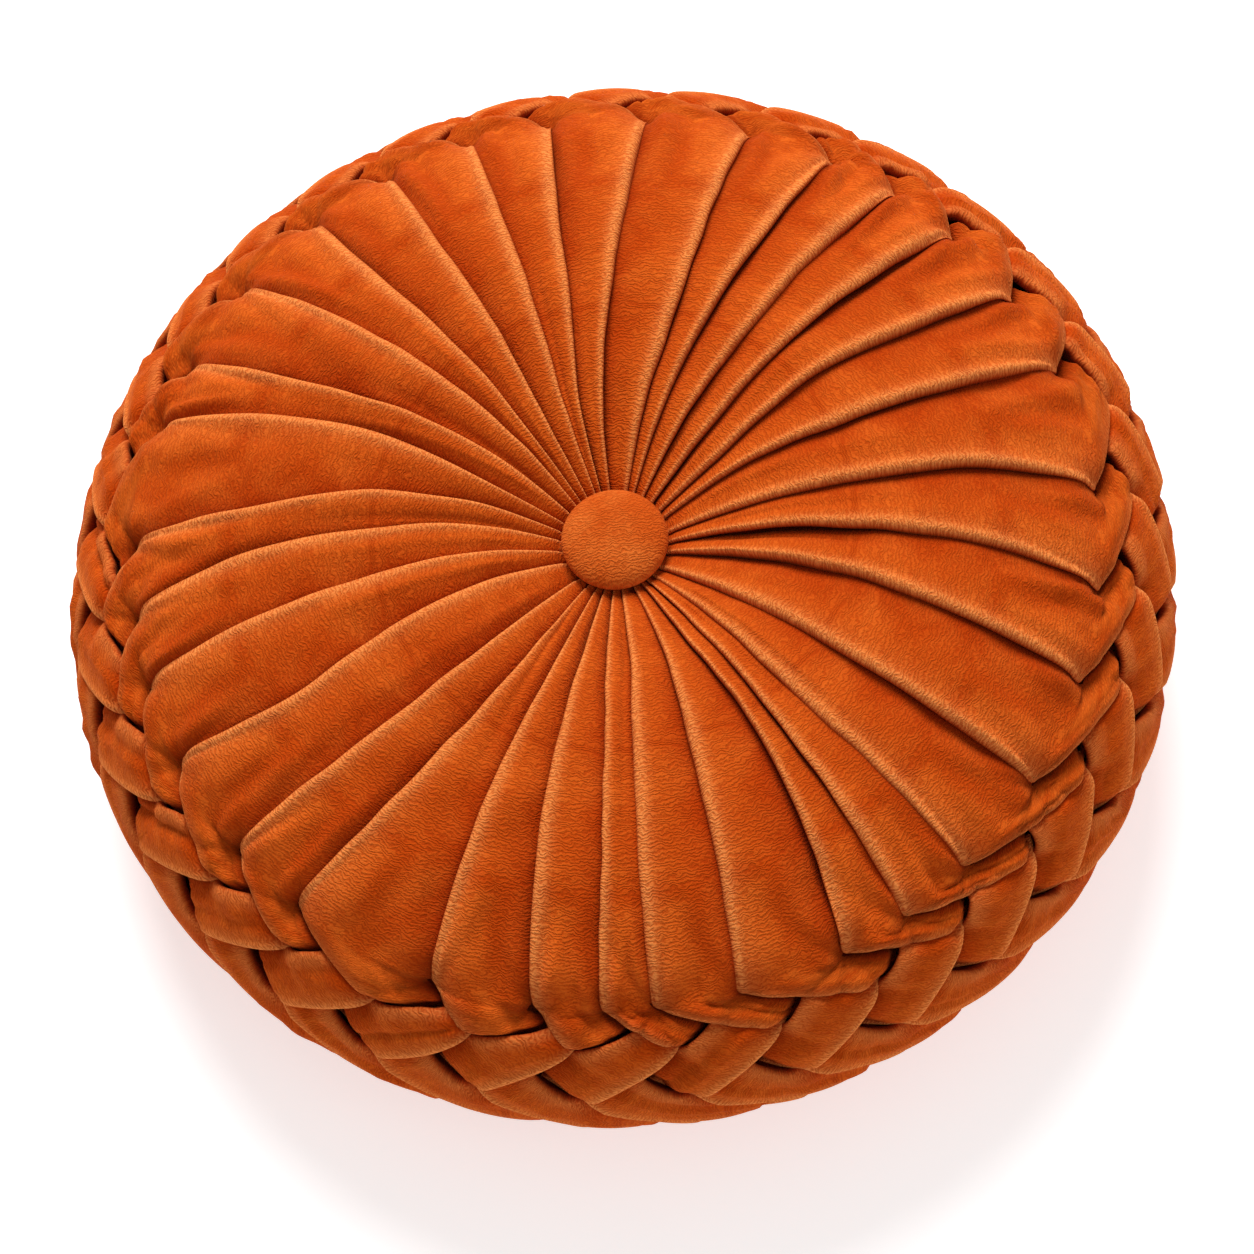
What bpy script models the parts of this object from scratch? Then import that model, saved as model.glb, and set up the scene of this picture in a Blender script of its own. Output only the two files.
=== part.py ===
"""Round velvet cushion: gathered pleats on both faces, a smocked side band and two covered buttons.

It lies on its back. The origin is at the middle of the resting face and +Z points out of the front face.
Lengths are in millimetres in the tables and turned into metres where points are placed.
"""
import math

import bmesh
import bpy
import numpy as np
from mathutils import Vector

MM = 0.001

# Driving sizes
OUTER_RADIUS = 190.0       # over the folds of the side band
RIM_RADIUS = 163.0         # where the pleats turn into the fingers of the band
RIM_HEIGHT = 41.0          # the rim above the middle plane of the cushion
MIDDLE_HEIGHT = 52.0       # the middle plane above the surface that the cushion lies on
SEAT_RADIUS = 16.0         # the flat bottom of the dimple that the button sits in
SEAT_HEIGHT = 38.2         # above the middle plane, as the button's heights are
CLEARANCE = 0.3            # left between the button and the cloth under it
BUTTON_RADIUS = 18.0
BUTTON_UNDERSIDE = SEAT_HEIGHT + CLEARANCE
BUTTON_TOP = 48.5

# Pleats and band
PLEATS = 32
PITCH = 360.0 / PLEATS     # degrees
FIRST_CORNER = -2.3        # azimuth of the first finger's corner in the even part of the band
FINGER_LEAN = 1.1          # pitches that a finger's edge runs anticlockwise on its way down
STRIP_LEAN = -0.9          # pitches that the strips of the next row run back
BAND_HALF_ANGLE = 60.0     # of the elliptical side, in degrees
BAND_ROWS = (
    # share of the side's height where the row ends, lean of the row in pitches, mesh sections in it
    (0.18, FINGER_LEAN, 3),
    (0.40, STRIP_LEAN, 3),
    (0.60, FINGER_LEAN, 3),
    (0.82, STRIP_LEAN, 3),
    (1.00, FINGER_LEAN, 3),
)
BAND_RELIEF = 8.0          # depth of the folds in the band
RIM_RELIEF = 6.0           # and where the pleats turn over the rim
STITCH_DEPTH = 9.0         # depth where the folds are caught together
STITCH_PUFF = 0.45         # share of the relief that is left between two stitches of a row

# A fold's section: how high the cloth stands at each share of a pleat's width, from its lip to the next lip
FOLD_COLUMNS = (
    # share of the width, share of the height
    (0.00, 0.00),
    (0.10, 1.00),
    (0.37, 0.86),
    (0.63, 0.58),
    (0.90, 0.18),
)

# The front pleats: azimuths of each lip in degrees at four radii, and how deep its fold is
LIP_RADII = (40.0, 80.0, 120.0, 160.0)
LIPS = (
    # near the button, inner, outer, at the rim, depth share
    (4, 3, 2, -1, 0.9),
    (21, 18, 16, 15, 1.0),
    (30, 31, 28, 26, 1.1),
    (42, 41, 39, 37, 0.8),
    (53, 50, 48, 46, 0.9),
    (63, 60, 57, 55, 1.0),
    (71, 68, 67, 66, 0.8),
    (88, 84, 81, 79, 1.1),
    (97, 93, 92, 91, 0.8),
    (103, 101, 101, 101, 0.9),
    (112, 111, 112, 112, 1.0),
    (120, 121, 123, 123, 0.5),
    (126, 129, 132, 135, 1.1),
    (137, 141, 145, 147, 1.1),
    (149, 149, 152, 155, 0.8),
    (159, 163, 168, 171, 1.1),
    (169, 173, 176, 180, 0.4),
    (181, 185, 187, 189, 1.0),
    (195, 199, 202, 200, 0.9),
    (218, 217, 215, 213, 1.2),
    (231, 229, 226, 223, 0.9),
    (241, 240, 240, 241, 1.2),
    (250, 250, 251, 253, 0.9),
    (260, 261, 261, 261, 0.8),
    (270, 268, 267, 267, 0.7),
    (284, 281, 279, 277, 1.1),
    (294, 295, 293, 290, 1.0),
    (301, 300, 299, 298, 0.4),
    (309, 307, 307, 307, 0.9),
    (322, 321, 320, 320, 1.0),
    (341, 339, 336, 334, 1.2),
    (353, 351, 349, 346, 1.0),
)

# The face from the rim to the button's seat, and the back from the rim to its seat
FRONT_SECTIONS = (
    # radius, height over the middle plane, depth of the pleats
    (150.0, 48.0, 6.0),
    (132.0, 54.0, 5.0),
    (108.0, 57.6, 4.8),
    (84.0, 58.0, 4.6),
    (62.0, 55.5, 4.0),
    (43.0, 50.5, 3.0),
    (29.0, 45.0, 2.0),
    (20.0, 40.6, 1.0),
    (SEAT_RADIUS, SEAT_HEIGHT, 0.0),
)
BACK_SECTIONS = (
    (RIM_RADIUS, RIM_HEIGHT, 4.0),
    (146.0, 48.0, 4.0),
    (125.0, 52.0, 0.0),
    (98.0, 52.0, 0.0),
    (72.0, 52.0, 0.0),
    (50.0, 49.5, 2.6),
    (32.0, 45.0, 1.8),
    (20.0, 40.6, 1.0),
    (SEAT_RADIUS, SEAT_HEIGHT, 0.0),
)
BACK_SWEEP = 10.0          # degrees that the back pleats curve between the rim and the button

BUTTON_SEGMENTS = 32
BUTTON_PROFILE = (
    # share of the radius, share of the height
    (0.80, 0.00),
    (0.95, 0.16),
    (1.00, 0.38),
    (0.94, 0.60),
    (0.74, 0.82),
    (0.42, 0.96),
)


def clear_scene():
    for thing in list(bpy.data.objects):
        bpy.data.objects.remove(thing)


def velvet(name, colour):
    material = bpy.data.materials.new(name)
    material.use_nodes = True
    shader = material.node_tree.nodes["Principled BSDF"]
    shader.inputs["Base Color"].default_value = (*colour, 1.0)
    shader.inputs["Roughness"].default_value = 0.9
    shader.inputs["Metallic"].default_value = 0.0
    return material


def fold_height(share, backwards):
    """Share of the relief at a share of a pleat's width; backwards puts the lip on the other side."""
    if backwards:
        share = 1.0 - share
    shares = [row[0] for row in FOLD_COLUMNS] + [1.0]
    heights = [row[1] for row in FOLD_COLUMNS] + [FOLD_COLUMNS[0][1]]
    return float(np.interp(share, shares, heights))


def front_lip(pleat, radius):
    """Azimuth of a front pleat's lip, in degrees; pleats past the last one carry on round."""
    turns, row = divmod(pleat, PLEATS)
    return float(np.interp(radius, LIP_RADII, LIPS[row][:4])) + 360.0 * turns


def lip_depth(pleat):
    return LIPS[pleat % PLEATS][4]


def side_point(share):
    """Radius, height and outward direction of the side, from the front rim (0) to the back rim (1)."""
    limit = math.radians(BAND_HALF_ANGLE)
    angle = limit * (1.0 - 2.0 * share)
    wide = (OUTER_RADIUS - RIM_RADIUS) / (1.0 - math.cos(limit))
    tall = RIM_HEIGHT / math.sin(limit)
    radius = RIM_RADIUS + wide * (math.cos(angle) - math.cos(limit))
    height = tall * math.sin(angle)
    outward = Vector((math.cos(angle) / wide, math.sin(angle) / tall)).normalized()
    return radius, height, outward


def column_azimuth(column, line):
    """Azimuth of a mesh column: its share of the way from its own pleat's line to the next one."""
    pleat, place = divmod(column, len(FOLD_COLUMNS))
    share = FOLD_COLUMNS[place][0]
    return (1.0 - share) * line(pleat) + share * line(pleat + 1)


def ring_of_points(radius, height, outward, line, depth):
    """One closed ring: each column stands at its azimuth, pushed in by depth(pleat, share of the width)."""
    points = []
    for column in range(PLEATS * len(FOLD_COLUMNS)):
        pleat, place = divmod(column, len(FOLD_COLUMNS))
        inward = depth(pleat, FOLD_COLUMNS[place][0])
        azimuth = math.radians(column_azimuth(column, line))
        r = radius - inward * outward.x
        z = height - inward * outward.y + MIDDLE_HEIGHT
        points.append(Vector((r * math.cos(azimuth), r * math.sin(azimuth), z)) * MM)
    return points


def lip_line(radius):
    return lambda pleat: front_lip(pleat, radius)


def even_line(turn):
    """Evenly spaced lines, turned by a number of pitches from the first corner."""
    return lambda pleat: FIRST_CORNER + PITCH * (pleat + turn)


def finger_line(along):
    """From the uneven lips at the rim (0) to the even stitches under the fingers (1)."""
    stitches = even_line(FINGER_LEAN)
    return lambda pleat: (1.0 - along) * front_lip(pleat, RIM_RADIUS) + along * stitches(pleat)


def even_folds(relief, backwards=False):
    return lambda pleat, share: relief * (1.0 - fold_height(share, backwards))


def uneven_folds(relief):
    """Front pleats, each as deep as the table of lips says."""
    def depth(pleat, share):
        own_depth = lip_depth(pleat) * (1.0 - share) + lip_depth(pleat + 1) * share
        return relief * own_depth * (1.0 - fold_height(share, False))
    return depth


def stitched(pleat, share):
    """Along a row of stitches the cloth is caught down at each line and puffs up a little between them."""
    return STITCH_DEPTH * (1.0 - STITCH_PUFF * 4.0 * share * (1.0 - share))


def front_rings():
    up = Vector((0.0, 1.0))
    return [ring_of_points(radius, height, up, lip_line(radius), uneven_folds(relief))
            for radius, height, relief in reversed(FRONT_SECTIONS)]


def band_rings():
    """The side band: rows of slanting folds whose lips face one way and the other in turn."""
    rings = [ring_of_points(*side_point(0.0), finger_line(0.0), even_folds(RIM_RELIEF))]
    row_start = 0.0
    turn = 0.0
    for row, (row_end, lean, sections) in enumerate(BAND_ROWS):
        folds = even_folds(BAND_RELIEF, backwards=row % 2 == 1)
        for step in range(1, sections + 1):
            along = step / sections
            line = finger_line(along) if row == 0 else even_line(turn + lean * along)
            depth = stitched if step == sections else folds
            share_of_side = row_start + (row_end - row_start) * along
            rings.append(ring_of_points(*side_point(share_of_side), line, depth))
        row_start = row_end
        turn += lean
    return rings[:-1]


def back_rings():
    down = Vector((0.0, -1.0))
    lean = sum(row[1] for row in BAND_ROWS)
    rings = []
    for radius, height, relief in BACK_SECTIONS:
        sweep = BACK_SWEEP * (1.0 - radius / RIM_RADIUS) / PITCH
        rings.append(ring_of_points(radius, -height, down, even_line(lean - sweep), even_folds(relief)))
    return rings


def skin(name, rings, material):
    """Extrude one ring of edges through all the rings in turn, and close both ends with a fan."""
    bm = bmesh.new()
    column_of = bm.verts.layers.int.new("column")
    first = [bm.verts.new(point) for point in rings[0]]
    for column, vertex in enumerate(first):
        vertex[column_of] = column
    edges = [bm.edges.new((first[i - 1], first[i])) for i in range(len(first))]
    open_ends = [edges]
    for ring in rings[1:]:
        grown = bmesh.ops.extrude_edge_only(bm, edges=edges)["geom"]
        for part in grown:
            if isinstance(part, bmesh.types.BMVert):
                part.co = ring[part[column_of]]
        edges = [part for part in grown if isinstance(part, bmesh.types.BMEdge)]
    open_ends.append(edges)
    for ends in open_ends:
        lid = bmesh.ops.contextual_create(bm, geom=ends)["faces"]
        bmesh.ops.poke(bm, faces=lid)
    bmesh.ops.triangulate(bm, faces=bm.faces[:])
    bmesh.ops.recalc_face_normals(bm, faces=bm.faces[:])
    return finish(name, bm, material)


def button(name, face, material):
    """A covered button, turned from its profile; face is 1 on the front and -1 on the back."""
    bm = bmesh.new()
    height = BUTTON_TOP - BUTTON_UNDERSIDE
    outline = [(0.0, 0.0)] + list(BUTTON_PROFILE) + [(0.0, 1.0)]
    points = []
    for wide, tall in outline:
        z = MIDDLE_HEIGHT + face * (BUTTON_UNDERSIDE + tall * height)
        points.append(bm.verts.new(Vector((wide * BUTTON_RADIUS, 0.0, z)) * MM))
    lines = [bm.edges.new(pair) for pair in zip(points[:-1], points[1:])]
    bmesh.ops.spin(bm, geom=points + lines, cent=(0.0, 0.0, 0.0), axis=(0.0, 0.0, 1.0),
                   angle=math.tau, steps=BUTTON_SEGMENTS, use_merge=True)
    bmesh.ops.remove_doubles(bm, verts=bm.verts[:], dist=0.01 * MM)
    bmesh.ops.recalc_face_normals(bm, faces=bm.faces[:])
    return finish(name, bm, material)


def finish(name, bm, material):
    mesh = bpy.data.meshes.new(name)
    bm.to_mesh(mesh)
    bm.free()
    mesh.shade_smooth()
    mesh.set_sharp_from_angle(angle=math.radians(50.0))
    mesh.materials.append(material)
    thing = bpy.data.objects.new(name, mesh)
    bpy.context.scene.collection.objects.link(thing)
    return thing


def build():
    clear_scene()
    cover = velvet("rust_velvet", (0.46, 0.065, 0.008))
    covered_button = velvet("button_velvet", (0.42, 0.065, 0.012))
    skin("cushion", front_rings() + band_rings() + back_rings(), cover)
    button("button_front", 1.0, covered_button)
    button("button_back", -1.0, covered_button)


build()
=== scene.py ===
import math

import bmesh
import bpy
import numpy as np
from mathutils import Matrix, Vector


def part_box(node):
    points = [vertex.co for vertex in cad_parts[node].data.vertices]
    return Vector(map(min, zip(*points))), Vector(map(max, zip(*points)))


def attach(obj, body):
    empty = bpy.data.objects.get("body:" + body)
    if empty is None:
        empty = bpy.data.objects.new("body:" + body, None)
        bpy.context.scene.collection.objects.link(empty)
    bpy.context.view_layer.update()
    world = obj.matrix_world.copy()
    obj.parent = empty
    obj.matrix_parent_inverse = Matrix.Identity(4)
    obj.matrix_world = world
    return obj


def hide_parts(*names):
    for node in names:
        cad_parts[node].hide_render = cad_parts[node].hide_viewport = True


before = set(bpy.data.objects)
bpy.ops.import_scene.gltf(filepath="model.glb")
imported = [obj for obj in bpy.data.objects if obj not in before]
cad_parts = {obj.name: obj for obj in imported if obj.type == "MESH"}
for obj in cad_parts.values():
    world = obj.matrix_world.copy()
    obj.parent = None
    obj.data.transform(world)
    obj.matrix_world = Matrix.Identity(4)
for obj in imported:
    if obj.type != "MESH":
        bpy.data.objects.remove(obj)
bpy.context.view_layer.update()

# Round cushion of rust velvet: pleated face, smocked side band, covered buttons.
# The tables are in millimetres and degrees. A place on the cover is an azimuth, the distance along the
# cover outwards and down from the front rim, and a height out of the cover.

metresPerMillimetre = 0.001

cushionLow, cushionHigh = (Vector(corner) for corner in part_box("cushion"))
cushionWidth = (cushionHigh.x - cushionLow.x) / metresPerMillimetre
cushionHeight = (cushionHigh.z - cushionLow.z) / metresPerMillimetre

body = {
    "outerRadius": cushionWidth / 2,
    "middleHeight": cushionHeight - 58.0,     # the crown stands 58 over the middle plane
    "rimRadius": 163.0,
    "rimHeight": 41.0,
    "sideHalfAngle": 60.0,
    "crown": (                                # radius, height over the middle plane
        (0.0, 37.6), (16.0, 38.2), (20.0, 40.6), (29.0, 45.0), (43.0, 50.5), (62.0, 55.5),
        (84.0, 58.0), (108.0, 57.6), (132.0, 54.0), (150.0, 48.0),
    ),
    "back": (
        (146.0, -48.0), (125.0, -51.9), (98.0, -52.0), (72.0, -51.9), (50.0, -49.5),
        (32.0, -45.0), (20.0, -40.6), (16.0, -38.2), (0.0, -37.6),
    ),
}

band = {
    "pleats": 32,
    "firstStitch": 10.1,                      # azimuth where the first finger ends
    "fingerLean": 1.1,                        # pitches that fingers run anticlockwise going down
    "stripLean": -0.9,                        # pitches that the strips of the next row run back
    "cornerDown": 2.0,                        # stitch rows, down from the rim
    "firstRowDown": 18.5,
    "secondRowDown": 41.5,
    "fingerShare": 0.45,                      # where a strip's hidden end starts on its neighbour's edge
    "stripShare": 0.40,
}
pitch = 360.0 / band["pleats"]


# the shape that everything is laid on


def smoothLine(points, steps=24):
    points = np.array(points, float)
    ends = np.vstack([2 * points[0] - points[1], points, 2 * points[-1] - points[-2]])
    share = np.linspace(0.0, 1.0, steps, endpoint=False)[:, None]
    stretches = []
    for p0, p1, p2, p3 in zip(ends, ends[1:], ends[2:], ends[3:]):
        bend = (2 * p0 - 5 * p1 + 4 * p2 - p3) * share ** 2
        twist = (3 * p1 - p0 - 3 * p2 + p3) * share ** 3
        stretches.append(0.5 * (2 * p1 + (p2 - p0) * share + bend + twist))
    return np.vstack(stretches + [points[-1:]])


def sideLine():
    limit = math.radians(body["sideHalfAngle"])
    angle = np.linspace(limit, -limit, 61)
    wide = (body["outerRadius"] - body["rimRadius"]) / (1.0 - math.cos(limit))
    tall = body["rimHeight"] / math.sin(limit)
    radius = body["rimRadius"] + wide * (np.cos(angle) - math.cos(limit))
    return np.stack([radius, tall * np.sin(angle)], axis=1)


def buildMeridian():
    side = sideLine()
    face = smoothLine(list(body["crown"]) + [tuple(side[0]), tuple(side[3])])
    rimIndex = int(np.argmin(np.hypot(*(face - side[0]).T)))
    back = smoothLine([tuple(side[-4]), tuple(side[-1])] + list(body["back"]))
    backIndex = int(np.argmin(np.hypot(*(back - side[-1]).T)))
    line = np.vstack([face[:rimIndex], side, back[backIndex + 1:]])
    length = np.concatenate([[0.0], np.cumsum(np.hypot(*np.diff(line, axis=0).T))])
    tangent = np.gradient(line, length, axis=0)
    tangent /= np.linalg.norm(tangent, axis=1)[:, None]
    down = length - length[rimIndex]
    sideLength = length[rimIndex + len(side) - 1] - length[rimIndex]
    return down, line[:, 0], line[:, 1], -tangent[:, 1], tangent[:, 0], sideLength


down, lineRadius, lineHeight, outRadius, outHeight, sideLength = buildMeridian()


def radiusAt(m):
    return np.interp(m, down, lineRadius)


def downAtRadius(radius):
    face = down <= 0.0
    return float(np.interp(radius, lineRadius[face], down[face]))


def place(azimuth, m, height):
    r = np.interp(m, down, lineRadius) + height * np.interp(m, down, outRadius)
    z = np.interp(m, down, lineHeight) + height * np.interp(m, down, outHeight)
    z = np.maximum(z, -body["middleHeight"] + 0.02)
    turn = np.radians(azimuth)
    points = np.stack([r * np.cos(turn), r * np.sin(turn), z + body["middleHeight"]], axis=-1)
    return points * metresPerMillimetre


def ease(low, high, value):
    t = np.clip((value - low) / (high - low), 0.0, 1.0)
    return t * t * (3.0 - 2.0 * t)


# velvet


def socketOf(group, name, kind, isInput, value=None):
    direction = "INPUT" if isInput else "OUTPUT"
    socket = group.interface.new_socket(name=name, in_out=direction, socket_type=kind)
    if value is not None:
        socket.default_value = value
    return socket


def mathNode(nodes, links, operation, first, second=None, third=None):
    node = nodes.new("ShaderNodeMath")
    node.operation = operation
    for index, value in enumerate((first, second, third)):
        if value is None:
            continue
        if isinstance(value, (int, float)):
            node.inputs[index].default_value = value
        else:
            links.new(value, node.inputs[index])
    return node.outputs[0]


def mixColour(nodes, links, factor, first, second, blend="MIX"):
    node = nodes.new("ShaderNodeMix")
    node.data_type = "RGBA"
    node.blend_type = blend
    values = {"Factor": factor, "A": first, "B": second}
    for socket, value in ((node.inputs[name], values[name]) for name in values):
        if isinstance(value, (int, float)):
            socket.default_value = value
        elif isinstance(value, tuple):
            socket.default_value = (*value, 1.0)
        else:
            links.new(value, socket)
    return node.outputs["Result"]


pile = {
    "waveSize": 0.0013,        # metres between the small waves of the pile
    "waveWander": 14.0,
    "waveShare": 0.44,
    "tuftShare": 0.85,
    "tuftSize": 0.0010,
    "brushSize": 0.030,        # patches where the pile lies another way
    "tipsRange": (0.30, 0.92),
    "brushRange": (0.35, 0.65),
}


def buildPileGroup():
    group = bpy.data.node_groups.new("velvetPile", "ShaderNodeTree")
    socketOf(group, "Vector", "NodeSocketVector", True)
    socketOf(group, "Size", "NodeSocketFloat", True, 1.0)
    socketOf(group, "Height", "NodeSocketFloat", False)
    socketOf(group, "Tips", "NodeSocketFloat", False)
    socketOf(group, "Brushed", "NodeSocketFloat", False)
    nodes, links = group.nodes, group.links
    inside = nodes.new("NodeGroupInput")
    outside = nodes.new("NodeGroupOutput")
    scaled = nodes.new("ShaderNodeVectorMath")
    scaled.operation = "SCALE"
    links.new(inside.outputs["Vector"], scaled.inputs[0])
    links.new(inside.outputs["Size"], scaled.inputs["Scale"])
    wave = nodes.new("ShaderNodeTexWave")
    wave.wave_type = "BANDS"
    wave.bands_direction = "Y"
    wave.wave_profile = "SIN"
    wave.inputs["Scale"].default_value = math.tau / (20.0 * pile["waveSize"])
    wave.inputs["Distortion"].default_value = pile["waveWander"]
    wave.inputs["Detail"].default_value = 2.0
    wave.inputs["Detail Scale"].default_value = 1.1
    wave.inputs["Detail Roughness"].default_value = 0.55
    links.new(scaled.outputs[0], wave.inputs["Vector"])
    tufts = nodes.new("ShaderNodeTexNoise")
    tufts.inputs["Scale"].default_value = 1.0 / pile["tuftSize"]
    tufts.inputs["Detail"].default_value = 2.0
    tufts.inputs["Roughness"].default_value = 0.6
    tufts.inputs["Distortion"].default_value = 0.8
    links.new(scaled.outputs[0], tufts.inputs["Vector"])
    patches = nodes.new("ShaderNodeTexNoise")
    patches.inputs["Scale"].default_value = 1.0 / pile["brushSize"]
    patches.inputs["Detail"].default_value = 3.0
    patches.inputs["Roughness"].default_value = 0.55
    patches.inputs["Distortion"].default_value = 0.6
    links.new(scaled.outputs[0], patches.inputs["Vector"])
    soft = mathNode(nodes, links, "MULTIPLY", wave.outputs["Fac"], pile["waveShare"])
    mixed = mathNode(nodes, links, "MULTIPLY_ADD", tufts.outputs["Fac"], pile["tuftShare"], soft)
    links.new(mixed, outside.inputs["Height"])
    for name, value in (("Tips", mixed), ("Brushed", patches.outputs["Fac"])):
        mask = nodes.new("ShaderNodeMapRange")
        mask.interpolation_type = "SMOOTHSTEP"
        low, high = pile["tipsRange"] if name == "Tips" else pile["brushRange"]
        mask.inputs["From Min"].default_value = low
        mask.inputs["From Max"].default_value = high
        links.new(value, mask.inputs["Value"])
        links.new(mask.outputs["Result"], outside.inputs[name])
    return group


def buildVelvet(name, look, pileGroup):
    material = bpy.data.materials.new(name)
    material.use_nodes = True
    nodes, links = material.node_tree.nodes, material.node_tree.links
    shader = nodes["Principled BSDF"]
    uv = nodes.new("ShaderNodeUVMap")
    uv.uv_map = "cloth"
    grain = nodes.new("ShaderNodeGroup")
    grain.node_tree = pileGroup
    grain.inputs["Size"].default_value = look["pileSize"]
    links.new(uv.outputs["UV"], grain.inputs["Vector"])
    masks = {}
    for maskName in ("crease", "lip", "rise"):
        masks[maskName] = nodes.new("ShaderNodeAttribute")
        masks[maskName].attribute_name = maskName
    colour = mixColour(nodes, links, grain.outputs["Brushed"], look["deep"], look["light"])
    if look["folded"]:
        # painted shade: the low ground of each fold, towards the bottom of its crease, is darker and redder
        colour = mixColour(nodes, links, masks["rise"].outputs["Fac"], look["low"], colour)
    dark = mixColour(nodes, links, 1.0, colour, look["under"], "MULTIPLY")
    colour = mixColour(nodes, links, grain.outputs["Tips"], dark, colour)
    if look["folded"]:
        # painted highlight along the crests of the lips, strongest on the raised ends of the pile
        shorn = 1.0 - look["highlightFluff"]
        highlightFluff = mathNode(nodes, links, "MULTIPLY_ADD", grain.outputs["Tips"], look["highlightFluff"], shorn)
        paintedLipHighlight = mathNode(nodes, links, "MULTIPLY", masks["lip"].outputs["Fac"], look["lipHighlightShare"])
        paintedLipHighlight = mathNode(nodes, links, "MULTIPLY", paintedLipHighlight, highlightFluff)
        colour = mixColour(nodes, links, paintedLipHighlight, colour, look["lipHighlightColour"])
        # painted shade in the creases and under the lips
        creaseShadeShare = mathNode(nodes, links, "MULTIPLY", masks["crease"].outputs["Fac"], look["creaseShade"])
        colour = mixColour(nodes, links, creaseShadeShare, colour, look["crease"])
    links.new(colour, shader.inputs["Base Color"])
    bump = nodes.new("ShaderNodeBump")
    bump.inputs["Strength"].default_value = look["bump"]
    bump.inputs["Distance"].default_value = look["pileDepth"]
    links.new(grain.outputs["Height"], bump.inputs["Height"])
    links.new(bump.outputs["Normal"], shader.inputs["Normal"])
    shader.inputs["Roughness"].default_value = look["roughness"]
    shader.inputs["Specular IOR Level"].default_value = look["specular"]
    shader.inputs["Sheen Weight"].default_value = look["sheen"]
    shader.inputs["Sheen Roughness"].default_value = look["sheenRoughness"]
    shader.inputs["Sheen Tint"].default_value = (*look["sheenTint"], 1.0)
    return material


coverLook = {
    "folded": True,            # the mesh carries the masks of its folds, for the painted shade and highlight
    "pileSize": 1.0,
    "deep": (0.52, 0.062, 0.0030),
    "light": (0.68, 0.120, 0.0110),
    # low: painted shade for the low ground of the folds
    "low": (0.40, 0.024, 0.0006),
    "under": (0.78, 0.62, 0.50),
    # painted highlight on the crests of the lips
    "lipHighlightColour": (1.0, 0.37, 0.100),
    # crease: painted shade in the creases, under the lips and over the crease floor
    "crease": (0.17, 0.006, 0.0003),
    "highlightFluff": 0.7,              # how much of the painted highlight on a lip follows the raised ends of its pile
    "lipHighlightShare": 0.60,
    "creaseShade": 0.9,
    "bump": 0.7,
    "pileDepth": 0.0007,
    "roughness": 0.82,
    "specular": 0.02,
    "sheen": 0.14,
    "sheenRoughness": 0.5,
    "sheenTint": (1.0, 0.36, 0.10),
}
buttonLook = dict(
    coverLook,
    folded=False,
    pileSize=1.1,
    deep=(0.60, 0.094, 0.0090),
    light=(0.70, 0.15, 0.022),
)


# folded cloth: a sheet between a lip line and a tail line, rolled over at the lip


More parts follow.
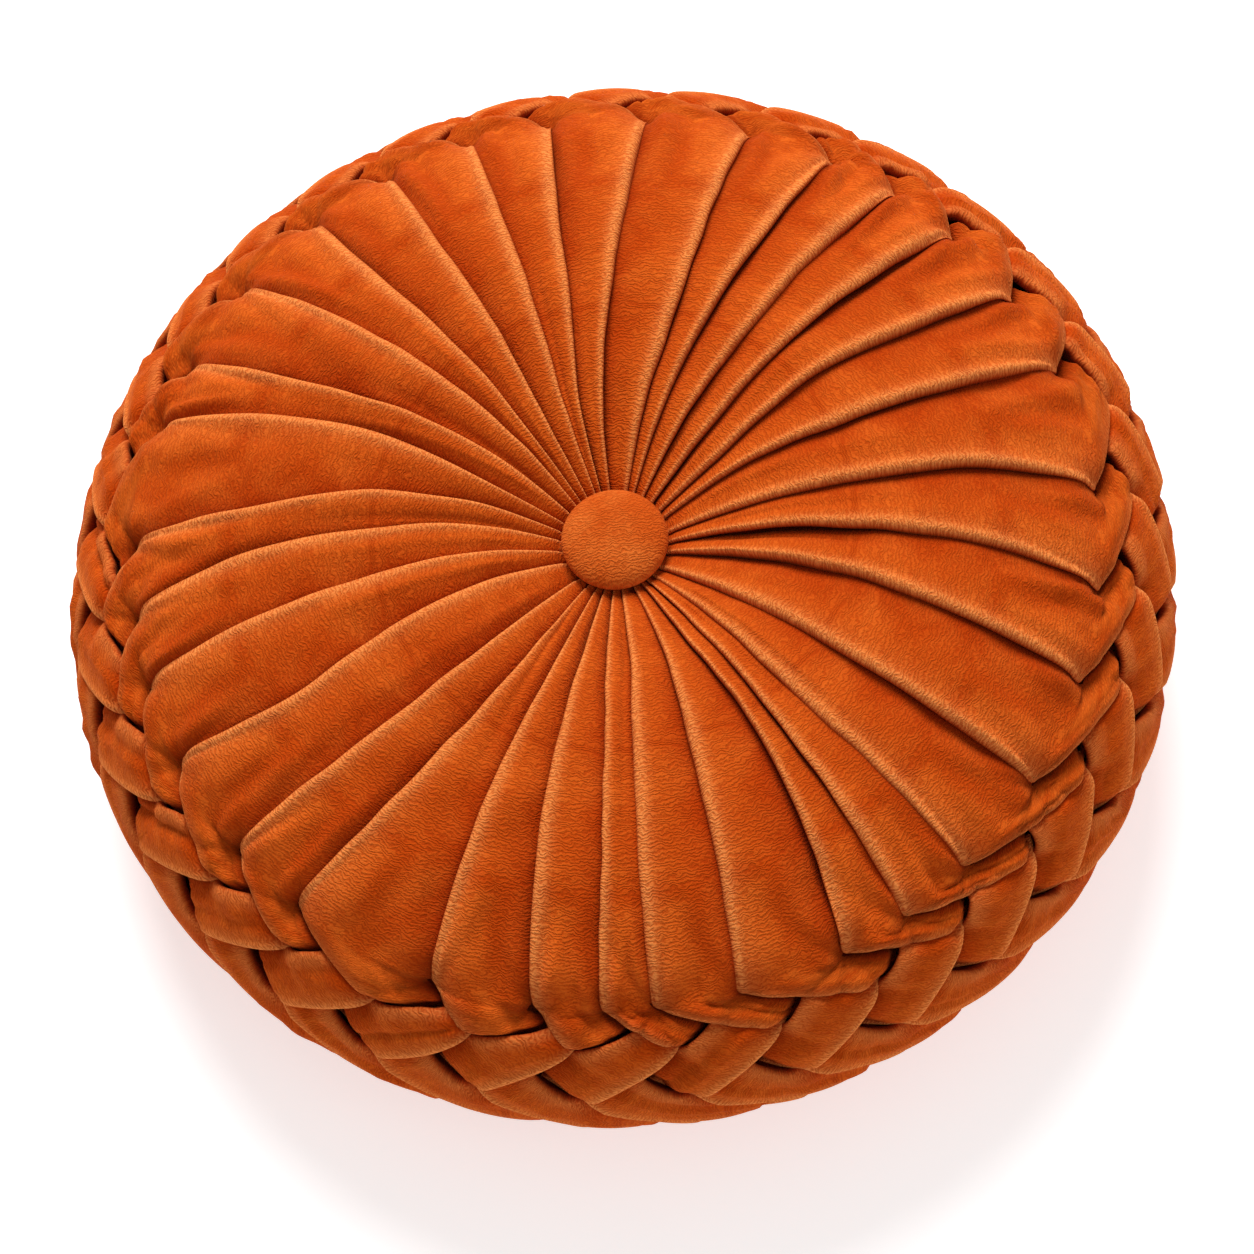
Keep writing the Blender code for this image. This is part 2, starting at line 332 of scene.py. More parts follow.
foldSections = {
    # columns: across in rolls and in widths from the lip line; up in rolls, in lip depths and in tail depths;
    # shares of the painted crease shade and of the painted lip highlight in the colour
    "pleat": (                                # a flat pleat, its tail tucked under the next lip
        (7.0, 0.00, -2.0, -1.00, 0.00, 1.0, 0.0),
        (2.5, 0.00, -1.6, -1.00, 0.00, 1.0, 0.0),
        (-0.6, 0.00, -0.6, -0.85, 0.00, 1.0, 0.0),
        (-1.8, 0.00, 0.0, -0.50, 0.00, 0.5, 0.1),
        (-0.9, 0.00, 0.1, -0.14, 0.00, 0.0, 0.9),
        (1.8, 0.00, 0.5, 0.00, 0.00, 0.0, 0.9),
        (6.0, 0.00, 0.0, -0.02, 0.00, 0.0, 0.2),
        (0.0, 0.36, 0.2, 0.00, -0.10, 0.0, 0.0),
        (0.0, 0.64, 0.0, 0.00, -0.30, 0.0, 0.0),
        (0.0, 0.88, 0.0, 0.00, -0.64, 0.15, 0.0),
        (1.0, 1.00, 0.0, 0.00, -0.97, 1.0, 0.0),
        (7.0, 1.00, -2.5, 0.00, -1.00, 1.0, 0.0),
    ),
    "finger": (                               # rounder, like a horn
        (6.0, 0.00, -2.0, -1.00, 0.00, 1.0, 0.0),
        (2.0, 0.00, -1.6, -1.00, 0.00, 1.0, 0.0),
        (-0.8, 0.00, -0.6, -0.85, 0.00, 1.0, 0.0),
        (-1.8, 0.00, 0.0, -0.60, 0.00, 0.4, 0.1),
        (-0.9, 0.00, 0.0, -0.32, 0.00, 0.0, 0.8),
        (1.6, 0.00, 0.2, -0.14, 0.00, 0.0, 0.8),
        (5.0, 0.00, 0.4, -0.02, 0.00, 0.0, 0.3),
        (0.0, 0.38, 0.6, 0.00, 0.00, 0.0, 0.0),
        (0.0, 0.62, 0.4, 0.00, -0.12, 0.0, 0.0),
        (0.0, 0.86, 0.0, 0.00, -0.60, 0.2, 0.0),
        (0.5, 1.00, 0.0, 0.00, -1.05, 1.0, 0.0),
        (5.0, 1.00, -2.5, 0.00, -1.10, 1.0, 0.0),
    ),
    "strip": (                                # both sides rolled over
        (6.0, 0.00, -2.0, -1.00, 0.00, 1.0, 0.0),
        (2.0, 0.00, -1.6, -1.00, 0.00, 1.0, 0.0),
        (-0.6, 0.00, -0.6, -0.85, 0.00, 1.0, 0.0),
        (-1.6, 0.00, 0.0, -0.50, 0.00, 0.5, 0.1),
        (-0.7, 0.00, 0.1, -0.12, 0.00, 0.0, 1.0),
        (1.6, 0.00, 0.5, 0.00, 0.00, 0.0, 0.9),
        (4.6, 0.00, -0.1, 0.00, 0.00, 0.0, 0.3),
        (0.0, 0.35, 0.2, 0.00, 0.00, 0.0, 0.0),
        (0.0, 0.62, 0.2, 0.00, -0.06, 0.0, 0.0),
        (-2.6, 1.00, 0.0, 0.00, -0.16, 0.0, 0.5),
        (0.0, 1.00, -0.8, 0.00, -0.55, 0.4, 0.3),
        (-2.6, 1.00, -3.5, 0.00, -1.00, 1.0, 0.0),
    ),
}
foldSections = {kind: np.array(section) for kind, section in foldSections.items()}
roll = {"share": 0.68, "fullWidth": 20.0}     # a fold narrower than the full width has a smaller roll
valleyShadeHeight = 8.0    # from the bottom of a crease to a crest, for the painted shade that darkens the low ground of the folds


def clothSheet(lipLine, tailLine, lipDeep, tailDeep, lift, kinds, columns, ripple):
    # the two lines are rows of azimuth and distance; kinds is a share for each kind of section, row by row
    perDegree = radiusAt(lipLine[:, 1]) * math.pi / 180.0
    step = tailLine - lipLine
    width = np.hypot(step[:, 0] * perDegree, step[:, 1])
    rolled = roll["share"] * np.minimum(1.0, width / roll["fullWidth"])
    table = sum(foldSections[kind][:, None, :] * np.reshape(share, (1, -1, 1))
                for kind, share in kinds.items())
    knots = np.stack([
        table[..., 0] * rolled + table[..., 1] * width,
        table[..., 2] * rolled + table[..., 3] * lipDeep + table[..., 4] * tailDeep,
        table[..., 5],
        table[..., 6],
    ], axis=-1)
    fine = smoothLine(knots.reshape(len(knots), -1), steps=12)
    picks = np.linspace(0.0, len(fine) - 1.0, columns)
    lower = np.minimum(picks.astype(int), len(fine) - 2)
    part = (picks - lower)[:, None]
    rows = fine[lower] * (1.0 - part) + fine[lower + 1] * part
    rows = rows.reshape(columns, len(rolled), 4)
    across, up, crease, lip = (rows[..., i] for i in range(4))
    share = across / width
    azimuth = lipLine[:, 0] + share * step[:, 0]
    m = lipLine[:, 1] + share * step[:, 1]
    along = np.concatenate([[0.0], np.cumsum(np.hypot(np.diff(lipLine[:, 0]) * perDegree[1:],
                                                      np.diff(lipLine[:, 1])))])
    # rise: the height over the bottom of the crease as a share, the mask of the painted shade on the low
    # ground
    rise = 1.0 + (up + lift) / valleyShadeHeight
    up = up + lift + ripple(across, along[None, :], share, m)
    uv = np.stack([across, np.broadcast_to(along, across.shape)], axis=-1)
    # masks for the colour: painted shade in the creases and on the low ground, painted highlight on the lips
    masks = {"crease": crease, "lip": lip, "rise": rise}
    return azimuth, m, up, uv, {name: np.clip(mask, 0.0, 1.0) for name, mask in masks.items()}


templates = {}


def sheetTemplate(columns, rows):
    if (columns, rows) not in templates:
        bm = bmesh.new()
        bmesh.ops.create_grid(bm, x_segments=columns - 1, y_segments=rows - 1, size=1.0)
        border = [edge for edge in bm.edges if edge.is_boundary]
        bmesh.ops.contextual_create(bm, geom=border)
        mesh = bpy.data.meshes.new("sheetTemplate")
        bm.to_mesh(mesh)
        bm.free()
        flat = np.zeros(len(mesh.vertices) * 3)
        mesh.vertices.foreach_get("co", flat)
        flat = (flat.reshape(-1, 3) + 1.0) / 2.0
        column = np.rint(flat[:, 0] * (columns - 1)).astype(int)
        row = np.rint(flat[:, 1] * (rows - 1)).astype(int)
        templates[(columns, rows)] = (mesh, column, row)
    return templates[(columns, rows)]


pull = {
    "cornerDeep": 5.0, "cornerWide": 5.5,      # the dip at each rim corner
    "stitchDeep": 1.5, "stitchWide": 4.0,      # and at each stitch of the band
    "fanHigh": 2.0, "fanReach": 8.0,           # small folds that fan out of a rim corner
    "stitchFanHigh": 0.7, "stitchFanReach": 4.5,
    "inwards": 0.42, "outwards": 1.4,          # they are longer on the face and shorter on the side
}


def stitchPull(azimuth, m, corners):
    # the cover dips where the folds are caught together, and small folds fan out from there
    height = np.zeros_like(azimuth)
    rng = np.random.default_rng(77)
    rows = [(corners, band["cornerDown"] + 1.5, pull["cornerDeep"], pull["cornerWide"],
             pull["fanHigh"], pull["fanReach"])]
    rows += [([stitch(i, row)[0] for i in range(band["pleats"])], stitch(0, row)[1], pull["stitchDeep"],
              pull["stitchWide"], pull["stitchFanHigh"], pull["stitchFanReach"]) for row in (1, 2)]
    for azimuths, rowDown, deep, wide, fanHigh, fanReach in rows:
        perDegree = radiusAt(rowDown) * math.pi / 180.0
        for corner in azimuths:
            folds, turn, strength = rng.integers(5, 9), rng.uniform(0, math.pi), rng.uniform(0.4, 1.0)
            aside = ((azimuth - corner + 180.0) % 360.0 - 180.0) * perDegree
            below = m - rowDown
            near = np.hypot(aside, below)
            if near.min() > 6.0 * fanReach:
                continue
            height -= deep * np.exp(-(near / wide) ** 2)
            below = below * np.where(below < 0.0, pull["inwards"], pull["outwards"])
            away = np.hypot(aside, below)
            fan = np.abs(np.sin(np.arctan2(below, aside) * folds / 2 + turn)) - 0.64
            height += fanHigh * strength * fan * away / fanReach * np.exp(1.0 - away / fanReach)
    return height


def joinSheets(name, sheets, material, corners, turnedAbout=None):
    bm = bmesh.new()
    for azimuth, m, up, uv, masks in sheets:
        up = up + stitchPull(azimuth, m, corners)
        if turnedAbout is not None:
            azimuth, m = turnedAbout - azimuth, sideLength - m
        mesh, column, row = sheetTemplate(*azimuth.shape)
        mesh = mesh.copy()
        points = place(azimuth, m, up)[column, row]
        mesh.vertices.foreach_set("co", points.astype(np.float32).ravel())
        for layerName, values in masks.items():
            layer = mesh.attributes.new(layerName, "FLOAT", "POINT")
            layer.data.foreach_set("value", values[column, row].astype(np.float32))
        corner = np.zeros(len(mesh.loops), int)
        mesh.loops.foreach_get("vertex_index", corner)
        uvLayer = mesh.uv_layers.new(name="cloth")
        flatUv = (uv[column, row] * metresPerMillimetre)[corner]
        uvLayer.data.foreach_set("uv", flatUv.astype(np.float32).ravel())
        bm.from_mesh(mesh)
        bpy.data.meshes.remove(mesh)
    bmesh.ops.recalc_face_normals(bm, faces=bm.faces[:])
    return finishPiece(name, bm, material)


def finishPiece(name, bm, material):
    mesh = bpy.data.meshes.new(name)
    bm.to_mesh(mesh)
    bm.free()
    mesh.shade_smooth()
    mesh.materials.append(material)
    piece = bpy.data.objects.new(name, mesh)
    bpy.context.scene.collection.objects.link(piece)
    return piece


def ripples(seed, size, low=18.0, high=45.0, count=7):
    # a quiet unevenness: the sum of a few long waves
    rng = np.random.default_rng(seed)
    turns = rng.uniform(0, math.tau, count)
    directions = rng.uniform(0, math.tau, count)
    lengths = rng.uniform(low, high, count)

    def height(across, along):
        total = 0.0
        for turn, direction, length in zip(turns, directions, lengths):
            total = total + np.sin((across * math.cos(direction) + along * math.sin(direction))
                                   * math.tau / length + turn)
        return total * size / math.sqrt(count)
    return height


# the pleats of the face and their fingers


lipRadii = (12.0, 40.0, 80.0, 120.0, 160.0, 170.0)
lipTable = (
    # azimuth near the button, inner, outer, at the rim, depth share
    (4, 3, 2, -1, 0.9),
    (21, 18, 16, 15, 1.0),
    (30, 31, 28, 26, 1.1),
    (42, 41, 39, 37, 0.8),
    (53, 50, 48, 46, 0.9),
    (63, 60, 57, 55, 1.0),
    (71, 68, 67, 66, 0.8),
    (88, 84, 81, 79, 1.1),
    (97, 93, 92, 91, 0.8),
    (103, 101, 101, 101, 0.9),
    (112, 111, 112, 112, 1.0),
    (120, 121, 123, 123, 0.5),
    (126, 129, 132, 135, 1.1),
    (137, 141, 145, 147, 1.1),
    (149, 149, 152, 155, 0.8),
    (159, 163, 168, 171, 1.1),
    (169, 173, 176, 180, 0.4),
    (181, 185, 187, 189, 1.0),
    (195, 199, 202, 200, 0.9),
    (218, 217, 215, 213, 1.2),
    (231, 229, 226, 223, 0.9),
    (241, 240, 240, 241, 1.2),
    (250, 250, 251, 253, 0.9),
    (260, 261, 261, 261, 0.8),
    (270, 268, 267, 267, 0.7),
    (284, 281, 279, 277, 1.1),
    (294, 295, 293, 290, 1.0),
    (301, 300, 299, 298, 0.4),
    (309, 307, 307, 307, 0.9),
    (322, 321, 320, 320, 1.0),
    (341, 339, 336, 334, 1.2),
    (353, 351, 349, 346, 1.0),
)
pleat = {
    "innerRadius": 13.0,
    "faceRows": 84,
    "fingerRows": 30,
    "columns": 40,
    "reliefRadii": (12.0, 20.0, 29.0, 43.0, 62.0, 84.0, 108.0, 132.0, 150.0, 163.0),
    "relief": (1.4, 2.8, 4.2, 5.2, 5.8, 5.8, 5.6, 5.2, 5.2, 5.0),
    "fingerDepth": 8.0,
    "rimPinch": 0.40,          # share of a pleat's depth that is left just before the corner
    "pinchLength": 24.0,
    "endDrop": 8.0,            # a finger dips this far at its end, and a little more under the strip
    "tuck": 7.0,
    "wander": 0.2,             # how far a lip strays from its smooth line
}


gatherRanges = (
    # a raised fold near the rim: share across where it starts, share at the rim, height, start, width
    ((0.45, 0.75), (0.76, 0.90), (1.0, 2.6), (-66.0, -38.0), 0.085),
    ((0.25, 0.55), (0.16, 0.36), (0.2, 1.6), (-50.0, -28.0), 0.075),
)
creaseRanges = (
    # a sunken crease near the rim, in the same order
    ((0.40, 0.60), (0.50, 0.70), (0.8, 2.6), (-54.0, -22.0), 0.065),
    ((0.20, 0.40), (0.22, 0.36), (-0.4, 1.2), (-36.0, -18.0), 0.05),
)


def lipAzimuth(index, radius):
    turns, row = divmod(index, len(lipTable))
    near, inner, outer, rim = lipTable[row][:4]
    knots = smoothLine(list(zip(lipRadii, (near, near, inner, outer, rim, rim + (rim - outer) * 0.2))))
    return np.interp(radius, knots[:, 0], knots[:, 1]) + 360.0 * turns


def stitch(index, row):
    # where the corners of the band's strips are caught: azimuth and distance down
    turned = 1.5 - 2.0 * band["fingerLean"]    # the lower rows are the upper rows turned over
    leans = (-band["fingerLean"], 0.0, band["stripLean"], turned - band["stripLean"], turned)
    downs = (band["cornerDown"], band["firstRowDown"], band["secondRowDown"],
             sideLength - band["secondRowDown"], sideLength - band["firstRowDown"])
    return np.array([band["firstStitch"] + pitch * (index + leans[row]), downs[row]])


def softenCorner(line, width=3):
    kernel = np.ones(width) / width
    padded = np.pad(line, ((width // 2, width // 2), (0, 0)), mode="edge")
    smooth = np.stack([np.convolve(padded[:, i], kernel, mode="valid") for i in range(2)], axis=1)
    smooth[0], smooth[-1] = line[0], line[-1]
    return smooth


def foldLine(index, corner, radii, faceDown, reach, tuckLength):
    # the line of a pleat's lip: over the face, round its corner at the rim and down its finger
    rng = np.random.default_rng(index % band["pleats"])
    wander = ripples(rng.integers(1000), pleat["wander"], 14.0, 40.0)(faceDown, 0.0)
    wander = wander * ease(-150.0, -110.0, faceDown) * (1.0 - ease(-30.0, -6.0, faceDown))
    face = np.stack([lipAzimuth(index, radii) + np.degrees(wander / radii), faceDown], axis=1)
    end = stitch(index, 1)
    start = np.array([corner, band["cornerDown"]])
    share = np.linspace(0.0, 1.0, pleat["fingerRows"])[1:, None]
    last = start + (end - start) * reach
    finger = start + (last - start) * share
    heading = (end - start) / np.hypot((end - start)[0] * radiusAt(10.0) * math.pi / 180.0, (end - start)[1])
    tucks = last + heading * (np.linspace(0.0, 1.0, 6)[1:, None] * tuckLength)
    return softenCorner(np.vstack([face, start[None, :], finger, tucks]), 3)


def fingerLift(faceRows, fingerShare, tuckRows):
    # the tuck adds a fifth to the finger's length
    share = np.concatenate([fingerShare, 1.0 + 0.2 * np.linspace(0.0, 1.0, tuckRows + 1)[1:]])
    return np.concatenate([np.zeros(faceRows), -pleat["endDrop"] * ease(0.84, 1.12, share)])


def frontPleat(index, seed):
    innerDown = downAtRadius(pleat["innerRadius"])
    faceDown = np.linspace(innerDown, band["cornerDown"], pleat["faceRows"] + 1)[:-1]
    radii = radiusAt(faceDown)
    corners = [lipAzimuth(index + i, body["rimRadius"] + 2.0) for i in (0, 1)]
    lips = foldLine(index, corners[0], radii, faceDown, 1.0, pleat["tuck"])
    tails = foldLine(index + 1, corners[1], radii, faceDown, band["fingerShare"], pleat["tuck"])
    depthShare = lipTable[index % len(lipTable)][4]
    nextDepth = lipTable[(index + 1) % len(lipTable)][4]
    faceDeep = np.interp(radii, pleat["reliefRadii"], pleat["relief"]) * (0.7 * depthShare + 0.3 * nextDepth)
    pinch = 1.0 - (1.0 - pleat["rimPinch"]) * ease(-pleat["pinchLength"], -4.0, faceDown)
    fingerShare = np.linspace(0.0, 1.0, pleat["fingerRows"])
    rise = ease(0.0, 0.35, fingerShare)
    fingerDeep = faceDeep[-1] * pinch[-1] * (1.0 - rise) + pleat["fingerDepth"] * rise
    rng = np.random.default_rng(seed)
    swell = 1.0 + 0.22 * np.sin(faceDown / rng.uniform(16.0, 26.0) + rng.uniform(0, math.tau))
    deep = np.concatenate([faceDeep * pinch * swell, fingerDeep, np.full(5, pleat["fingerDepth"])])
    lift = fingerLift(len(faceDown), fingerShare, 5)
    horn = np.concatenate([ease(-30.0, 0.0, faceDown) * 0.5, 0.5 + 0.5 * rise, np.ones(5)])
    kinds = {"pleat": 1.0 - horn, "finger": horn}
    quiet = ripples(seed + 500, 0.35)
    gathers = [[rng.uniform(*span) for span in spans] + [wide] for *spans, wide in gatherRanges]
    creases = [[rng.uniform(*span) for span in spans] + [wide] for *spans, wide in creaseRanges]
    secondFrom, secondTo = rng.uniform(0.2, 0.8, 2)
    secondSize = rng.uniform(-1.8, 1.4)

    def unevenness(across, along, share, m):
        fade = ease(0.05, 0.22, share) * (1.0 - ease(0.88, 1.0, share))
        folds = 0.0
        for fromShare, toShare, size, start, wide in gathers:
            run = np.clip((m - start) / -start, 0.0, 1.0)
            middle = fromShare + (toShare - fromShare) * run
            window = ease(start, -10.0, m) * (1.0 - 0.6 * ease(3.0, 14.0, m))
            folds = folds + size * np.exp(-((share - middle) / wide) ** 2) * window
        for fromShare, toShare, size, start, wide in creases:
            run = np.clip((m - start) / -start, 0.0, 1.0)
            middle = fromShare + (toShare - fromShare) * run
            folds = folds - size * np.exp(-np.abs(share - middle) / wide) * ease(start, -2.0, m)
        inner = secondFrom + (secondTo - secondFrom) * ease(-150.0, -40.0, m)
        inner = secondSize * np.exp(-np.abs(share - inner) / 0.10)
        folds = folds + inner * ease(-146.0, -126.0, m) * (1.0 - ease(-90.0, -45.0, m))
        scale = ease(-150.0, -90.0, m)
        return (folds + quiet(across, along) * scale) * fade
    return clothSheet(lips, tails, deep, deep, lift, kinds, pleat["columns"], unevenness)


# the strips of the band


strip = {
    "rows": 36,
    "columns": 36,
    "depth": 5.5,
    "openDepth": 2.6,          # on the far side, where the strip lies over the end of the row above
    "startDrop": 7.0,          # hidden under the lip of the row above
    "endDrop": 7.5,            # and under the row below
}


def sideOf(points, share):
    # a side of a strip through three points, a fifth longer at both ends
    points = np.array(points)
    first = points[0] + (points[0] - points[1]) * 0.4
    last = points[2] + (points[2] - points[1]) * 0.4
    knots = np.column_stack([(-0.2, 0.0, 0.5, 1.0, 1.2), np.vstack([first, points, last])])
    fine = smoothLine(knots, 16)
    return np.stack([np.interp(share, fine[:, 0], fine[:, i]) for i in (1, 2)], axis=1)


def bandStrip(lipPoints, tailPoints, seed, wander=0.9):
    # from under the row above to under the row below
    rng = np.random.default_rng(seed)
    perDegree = radiusAt(lipPoints[0][1]) * math.pi / 180.0
    share = np.linspace(-0.2, 1.2, strip["rows"])
    bow = np.sin(np.clip(share, 0, 1) * math.pi)[:, None]
    lips = sideOf(lipPoints, share) + bow * rng.uniform(-wander, wander, 2) * (1.0 / perDegree, 1.0)
    tail = sideOf(tailPoints, share)
    tucked = ease(0.40, 0.62, share)
    lipDeep = np.full(len(share), strip["depth"])
    tailDeep = strip["openDepth"] * (1.0 - tucked) + strip["depth"] * tucked
    lift = -strip["startDrop"] * (1.0 - ease(-0.18, 0.10, share))
    lift = lift - strip["endDrop"] * ease(0.86, 1.12, share)
    quiet = ripples(seed + 900, 0.35, 10.0, 24.0)
    middle, size = rng.uniform(0.3, 0.7, 2), rng.uniform(-1.8, 1.0, 2)

    def unevenness(across, along, part, m):
        fade = ease(0.08, 0.3, part) * (1.0 - ease(0.8, 1.0, part))
        wrinkle = size[0] * np.exp(-((part - middle[0]) / 0.10) ** 2)
        wrinkle = wrinkle + size[1] * np.exp(-((part - middle[1]) / 0.06) ** 2)
        return (wrinkle + quiet(across, along)) * fade
    kinds = {"strip": 1.0 - tucked, "pleat": tucked}
    return clothSheet(lips, tail, lipDeep, tailDeep, lift, kinds, strip["columns"], unevenness)


def between(first, second, share):
    return first + (second - first) * share


def secondRow(index, fingerCorner):
    # the strip that comes out under finger number index
    start, end = stitch(index, 1), stitch(index, 2)
    tip = between(np.array([fingerCorner, band["cornerDown"]]), start, band["fingerShare"])
    left = between(stitch(index - 1, 1), stitch(index - 1, 2), band["stripShare"])
    return bandStrip((start, between(start, end, 0.5), end), (tip, stitch(index - 1, 1), left), 2000 + index)


def thirdRow(index):
    # along the middle of the band, with the same run seen from above and from below
    left = between(stitch(index - 1, 1), stitch(index - 1, 2), band["stripShare"])
    right = between(stitch(index, 4), stitch(index, 3), band["stripShare"])
    return bandStrip((stitch(index - 1, 2), stitch(index - 1, 3), right),
                     (left, stitch(index, 2), stitch(index, 3)), 3000 + index)


# the back


backPleat = {
    "columns": 26,
    "faceRows": 44,
    "fingerRows": 16,
    "relief": (0.5, 1.0, 1.8, 2.6, 1.6, 1.2, 1.2, 2.4, 4.0, 4.5),
    "sweep": 10.0,             # degrees that the back pleats curve between rim and button
}
# the lower half of the band is the upper half turned over about this azimuth
turnOver = 2 * (band["firstStitch"] - band["fingerLean"] * pitch) + 1.5 * pitch


def evenLine(index, radii, faceDown, reach):
    corner = stitch(index, 0)[0]
    azimuth = corner + backPleat["sweep"] * (1.0 - radii / body["rimRadius"])
    face = np.stack([azimuth, faceDown], axis=1)
    start, end = np.array([corner, band["cornerDown"]]), stitch(index, 1)
    last = start + (end - start) * reach
    share = np.linspace(0.0, 1.0, backPleat["fingerRows"])[1:, None]
    heading = (end - start) / np.hypot((end - start)[0] * radiusAt(10.0) * math.pi / 180.0, (end - start)[1])
    tucks = last + heading * (np.linspace(0.0, 1.0, 4)[1:, None] * pleat["tuck"])
    return softenCorner(np.vstack([face, start[None, :], start + (last - start) * share, tucks]), 3)


def hindPleat(index, backDown, backRadii):
    lips = evenLine(index, backRadii, backDown, 1.0)
    tails = evenLine(index + 1, backRadii, backDown, band["fingerShare"])
    faceDeep = np.interp(backRadii, pleat["reliefRadii"], backPleat["relief"])
    fingerShare = np.linspace(0.0, 1.0, backPleat["fingerRows"])
    rise = ease(0.0, 0.35, fingerShare)
    deep = np.concatenate([faceDeep, faceDeep[-1] * (1 - rise) + pleat["fingerDepth"] * rise,
                           np.full(3, pleat["fingerDepth"])])
    lift = fingerLift(len(backDown), fingerShare, 3)
    horn = np.concatenate([ease(-20.0, 0.0, backDown) * 0.5, 0.5 + 0.5 * rise, np.ones(3)])
    kinds = {"pleat": 1.0 - horn, "finger": horn}
    quiet = ripples(index + 4000, 0.3)

    def unevenness(across, along, share, m):
        fade = ease(0.05, 0.25, share) * (1.0 - ease(0.85, 1.0, share))
        return quiet(across, along) * fade * 0.6
    return clothSheet(lips, tails, deep, deep, lift, kinds, backPleat["columns"], unevenness)


# what lies at the bottom of the folds, painted all over in the dark shade of the creases


creaseFloor = {"sunk": 14.0, "sunkAtButton": 2.0, "segments": 192, "rings": 90}


def buildCreaseFloor(material):
    bm = bmesh.new()
    m = np.linspace(down[0], down[-1], creaseFloor["rings"])
    radius = radiusAt(m)
    sunk = np.interp(radius, (0.0, 30.0, 90.0), (creaseFloor["sunkAtButton"], 5.0, creaseFloor["sunk"]))
    points = place(np.zeros(len(m)), m, -sunk)
    points[:, 1] = 0.0
    points[:, 0] = np.maximum(points[:, 0], 0.0)
    points[0, 0] = points[-1, 0] = 0.0
    verts = [bm.verts.new(point) for point in points]
    edges = [bm.edges.new(pair) for pair in zip(verts, verts[1:])]
    bmesh.ops.spin(bm, geom=verts + edges, cent=(0, 0, 0), axis=(0, 0, 1), angle=math.tau,
                   steps=creaseFloor["segments"], use_merge=True)
    bmesh.ops.remove_doubles(bm, verts=bm.verts[:], dist=0.00002)
    bmesh.ops.recalc_face_normals(bm, faces=bm.faces[:])
    # the whole sheet takes the painted shade of the creases
    layer = bm.verts.layers.float.new("crease")
    for vertex in bm.verts:
        vertex[layer] = 1.0
    bm.loops.layers.uv.new("cloth")
    return finishPiece("creaseFloor", bm, material)


# covered buttons


button = {
    "segments": 96,
    "profile": ((0.0, 0.0), (0.80, 0.0), (0.93, 0.10), (1.0, 0.34), (0.965, 0.56), (0.84, 0.75),
                (0.62, 0.90), (0.34, 0.975), (0.0, 1.0)),
}


def buildButton(name, node, material):
    low, high = (Vector(corner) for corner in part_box(node))
    radius = (high.x - low.x) / 2
    tall = high.z - low.z
    flip = -1.0 if node == "button_back" else 1.0
    base = high.z if flip < 0 else low.z
    outline = smoothLine(button["profile"], 6)
    bm = bmesh.new()
    verts = [bm.verts.new((max(wide, 0.0) * radius, 0.0, base + flip * height * tall))
             for wide, height in outline]
    edges = [bm.edges.new(pair) for pair in zip(verts, verts[1:])]
    bmesh.ops.spin(bm, geom=verts + edges, cent=(0, 0, 0), axis=(0, 0, 1), angle=math.tau,
                   steps=button["segments"], use_merge=True)
    bmesh.ops.remove_doubles(bm, verts=bm.verts[:], dist=0.00002)
    bmesh.ops.recalc_face_normals(bm, faces=bm.faces[:])
    layer = bm.loops.layers.uv.new("cloth")
    for face in bm.faces:
        for loop in face.loops:
            loop[layer].uv = (loop.vert.co.x, loop.vert.co.y)
    return finishPiece(name, bm, material)


# build and dress


def dress(piece, node):
    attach(piece, "root")
    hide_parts(node)


pileGroup = buildPileGroup()
coverVelvet = buildVelvet("coverVelvet", coverLook, pileGroup)
buttonVelvet = buildVelvet("buttonVelvet", buttonLook, pileGroup)

print("laying the pleats of the face")
rimCorners = [lipAzimuth(index, body["rimRadius"] + 2.0) for index in range(band["pleats"])]
evenCorners = [stitch(index, 0)[0] for index in range(band["pleats"])]
quarters = 4
perQuarter = band["pleats"] // quarters
for quarter in range(quarters):
    first = quarter * perQuarter
    sheets = [frontPleat(index, 100 + index) for index in range(first, first + perQuarter)]
    dress(joinSheets(f"facePleats_{quarter + 1}", sheets, coverVelvet, rimCorners), "cushion")

print("weaving the band")
upperStrips = [secondRow(index, rimCorners[index]) for index in range(band["pleats"])]
dress(joinSheets("bandUpper", upperStrips, coverVelvet, rimCorners), "cushion")
middleStrips = [thirdRow(index) for index in range(band["pleats"])]
dress(joinSheets("bandMiddle", middleStrips, coverVelvet, evenCorners), "cushion")
lowerStrips = [secondRow(index, evenCorners[index]) for index in range(band["pleats"])]
dress(joinSheets("bandLower", lowerStrips, coverVelvet, evenCorners, turnOver), "cushion")

print("laying the back")
backInner = sideLength - down[-1] + pleat["innerRadius"]
backDown = np.linspace(backInner, band["cornerDown"], backPleat["faceRows"] + 1)[:-1]
backRadii = radiusAt(sideLength - backDown)
hindSheets = [hindPleat(index, backDown, backRadii) for index in range(band["pleats"])]
dress(joinSheets("backPleats", hindSheets, coverVelvet, evenCorners, turnOver), "cushion")
dress(buildCreaseFloor(coverVelvet), "cushion")

print("covering the buttons")
dress(buildButton("coveredButton", "button_front", buttonVelvet), "button_front")
dress(buildButton("coveredButtonBack", "button_back", buttonVelvet), "button_back")
for mesh, column, row in templates.values():
    bpy.data.meshes.remove(mesh)


# floor, light and camera


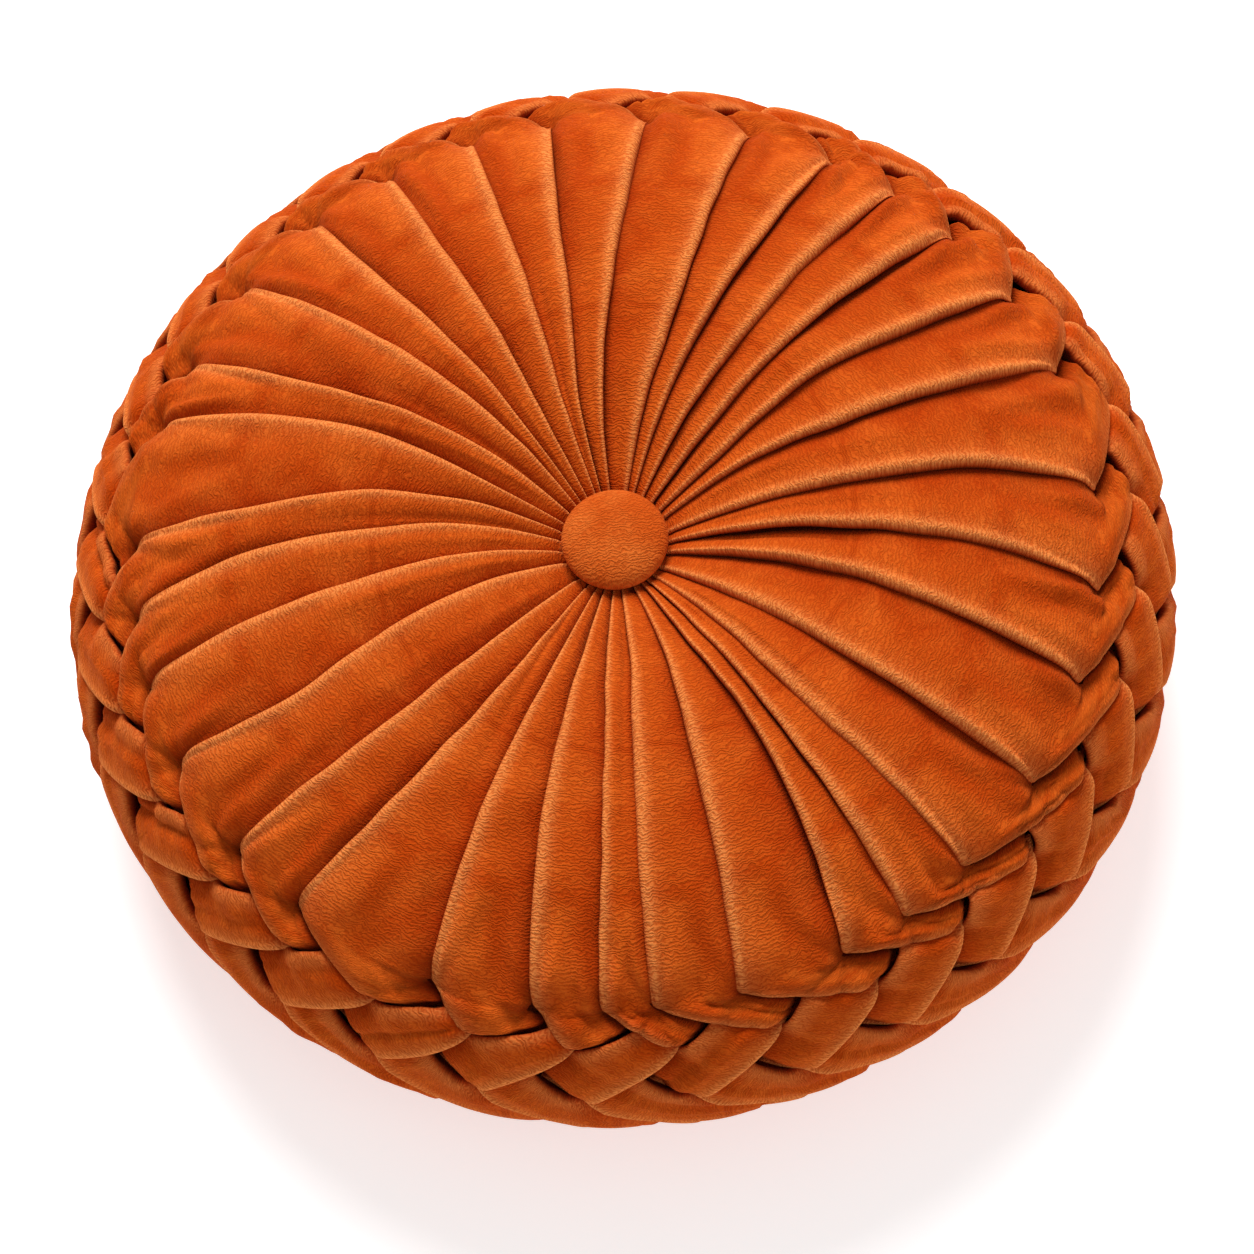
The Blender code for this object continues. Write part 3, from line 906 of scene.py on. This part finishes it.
studio = {
    "floorSize": 6.0,
    "floorColour": (0.92, 0.92, 0.92),
    "skyStrength": 0.36,
    "floorGlow": 0.52,
    "keyEnergy": 71.0,
    "keySize": 1.5,
    "keyPlace": (0.0, 1.7, 1.8),
    "fillEnergy": 4.0,
    "fillPlace": (0.9, -1.2, 1.3),
    "photoWidth": 1254.0,
    "pixelsPerMetre": 2903.7,
    "distance": 1.5,
    "elevation": 67.0,
    "roll": -8.2,
    "middlePixel": (621.85, 588.3),
    "sensor": 36.0,
}


def buildFloor():
    bm = bmesh.new()
    bmesh.ops.create_grid(bm, x_segments=4, y_segments=4, size=studio["floorSize"] / 2)
    material = bpy.data.materials.new("paleFloor")
    material.use_nodes = True
    nodes, links = material.node_tree.nodes, material.node_tree.links
    coordinates = nodes.new("ShaderNodeTexCoord")
    noise = nodes.new("ShaderNodeTexNoise")
    noise.inputs["Scale"].default_value = 3.0
    links.new(coordinates.outputs["Object"], noise.inputs["Vector"])
    pale = studio["floorColour"]
    colour = mixColour(nodes, links, noise.outputs["Fac"], pale, tuple(c * 0.985 for c in pale))
    links.new(colour, nodes["Principled BSDF"].inputs["Base Color"])
    nodes["Principled BSDF"].inputs["Roughness"].default_value = 0.9
    nodes["Principled BSDF"].inputs["Emission Color"].default_value = (1.0, 1.0, 1.0, 1.0)
    nodes["Principled BSDF"].inputs["Emission Strength"].default_value = studio["floorGlow"]
    floor = finishPiece("floor", bm, material)


def aimAt(thing, place, target):
    thing.location = place
    thing.rotation_euler = (Vector(target) - Vector(place)).to_track_quat("-Z", "Y").to_euler()


def buildLight(name, where, energy, size):
    light = bpy.data.lights.new(name, "AREA")
    light.shape = "DISK"
    light.size = size
    light.energy = energy
    thing = bpy.data.objects.new(name, light)
    bpy.context.scene.collection.objects.link(thing)
    aimAt(thing, where, (0, 0, 0.05))


def buildCamera():
    lens = studio["pixelsPerMetre"] * studio["distance"] * studio["sensor"] / studio["photoWidth"]
    camera = bpy.data.cameras.new("camera")
    camera.lens = lens
    camera.sensor_width = studio["sensor"]
    half = studio["photoWidth"] / 2
    camera.shift_x = (half - studio["middlePixel"][0]) / studio["photoWidth"]
    camera.shift_y = (studio["middlePixel"][1] - half) / studio["photoWidth"]
    up = math.radians(studio["elevation"])
    roll = math.radians(studio["roll"])
    forward = Vector((0.0, math.cos(up), -math.sin(up)))
    side = Vector((1.0, 0.0, 0.0))
    above = Vector((0.0, math.sin(up), math.cos(up)))
    right = side * math.cos(roll) + above * math.sin(roll)
    top = -side * math.sin(roll) + above * math.cos(roll)
    middle = Vector((0.0, 0.0, body["middleHeight"] * metresPerMillimetre))
    place = middle - forward * studio["distance"]
    turn = Matrix((right, top, -forward)).transposed()
    thing = bpy.data.objects.new("camera", camera)
    thing.matrix_world = Matrix.Translation(place) @ turn.to_4x4()
    bpy.context.scene.collection.objects.link(thing)
    bpy.context.scene.camera = thing


print("setting the studio")
buildFloor()
world = bpy.data.worlds.new("studio")
world.use_nodes = True
world.node_tree.nodes["Background"].inputs["Color"].default_value = (1.0, 1.0, 1.0, 1.0)
world.node_tree.nodes["Background"].inputs["Strength"].default_value = studio["skyStrength"]
bpy.context.scene.world = world
buildLight("keyLight", studio["keyPlace"], studio["keyEnergy"], studio["keySize"])
buildLight("fillLight", studio["fillPlace"], studio["fillEnergy"], studio["keySize"])
buildCamera()
bpy.context.scene.view_settings.view_transform = "Standard"
